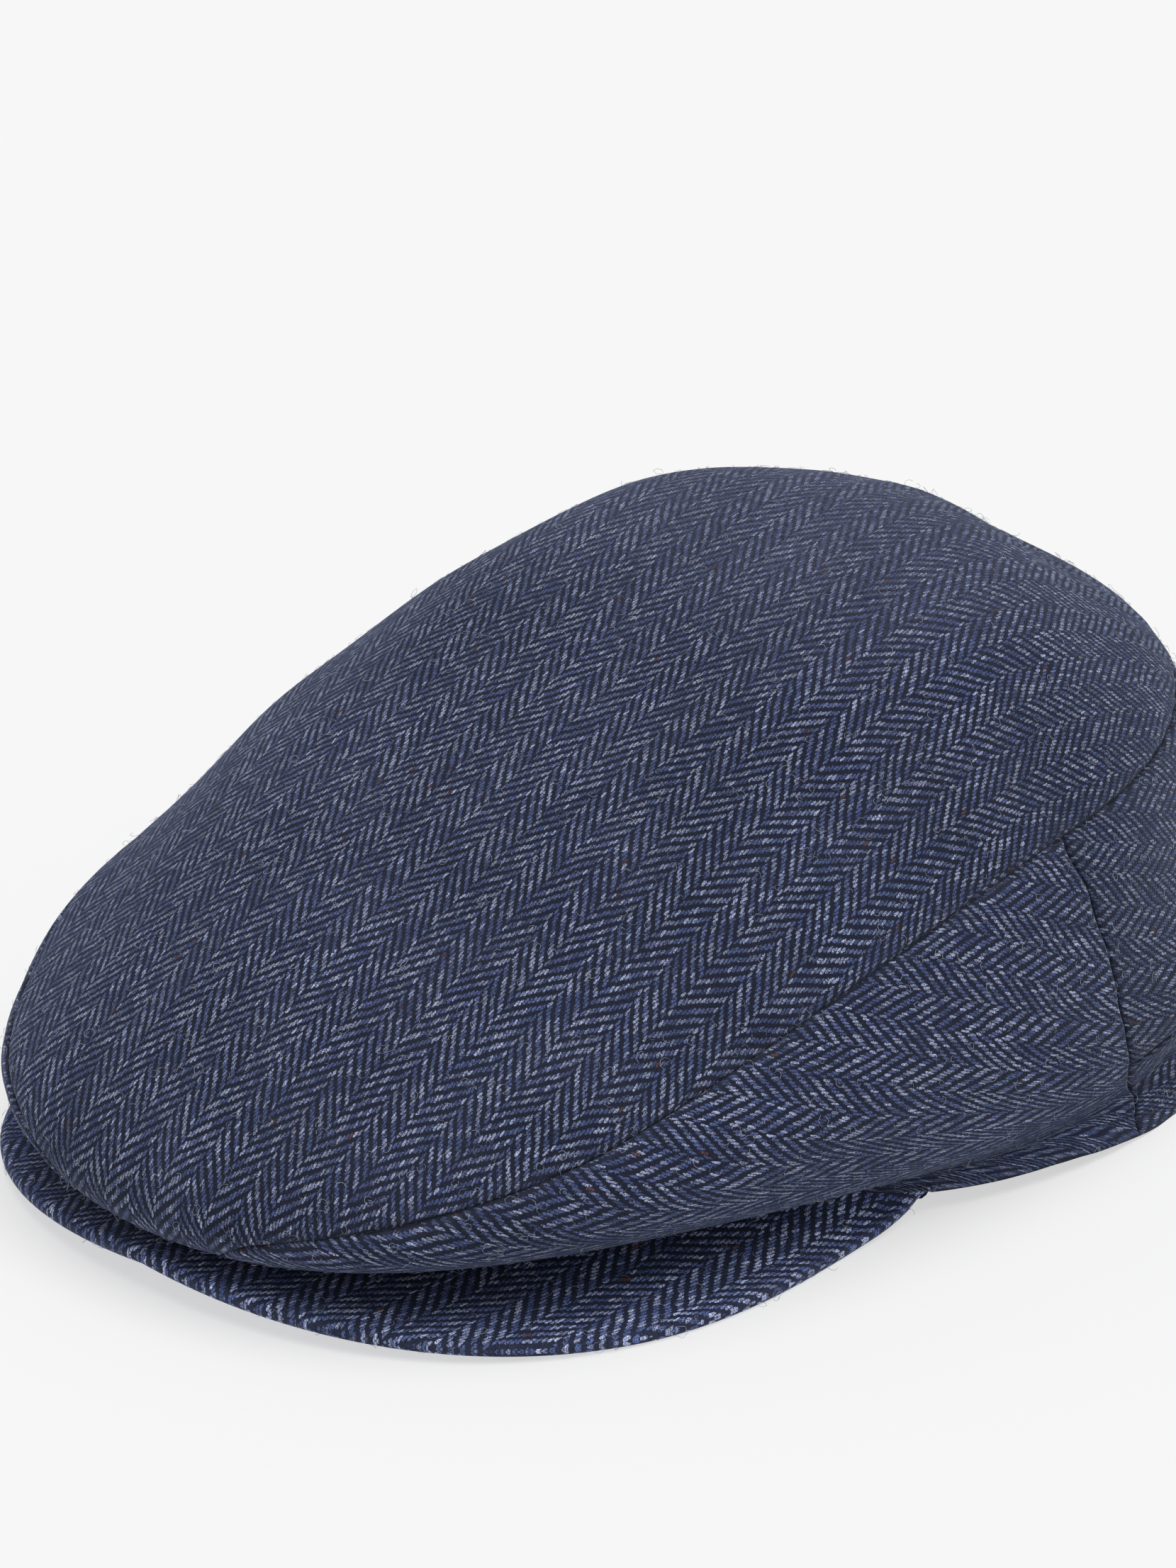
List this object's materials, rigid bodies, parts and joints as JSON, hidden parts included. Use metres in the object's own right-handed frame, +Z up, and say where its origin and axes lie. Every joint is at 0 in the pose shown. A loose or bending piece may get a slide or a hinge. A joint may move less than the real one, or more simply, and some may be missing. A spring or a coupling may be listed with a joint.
{
  "type": "flat cap",
  "caption": "Soft wool flat cap with a one-piece top that folds forward over a stiff crescent peak, side and back panels and a narrow back band, lying flat",
  "frame": {"origin": "the bottom centre of the whole cap's bounding box, on the surface that it lies on", "axes": "+Z is up, -Y is the way the peak points, +X is the wearer's left"},
  "size_m": [0.1748, 0.2554, 0.1008],
  "materials": {
    "top_panel": "brushed wool, herringbone weave running front to back",
    "side_panel_left": "brushed wool, herringbone weave turned to the side",
    "side_panel_right": "brushed wool, herringbone weave turned to the side",
    "back_panel": "brushed wool, herringbone weave",
    "back_band": "brushed wool, herringbone weave",
    "peak": "brushed wool over a stiff board, herringbone weave running front to back"
  },
  "bodies": {
    "root": {"top_panel": "top_panel", "side_panel_left": "side_panel_left", "side_panel_right": "side_panel_right", "back_panel": "back_panel", "back_band": "back_band", "peak": "peak"}
  },
  "joints": []
}
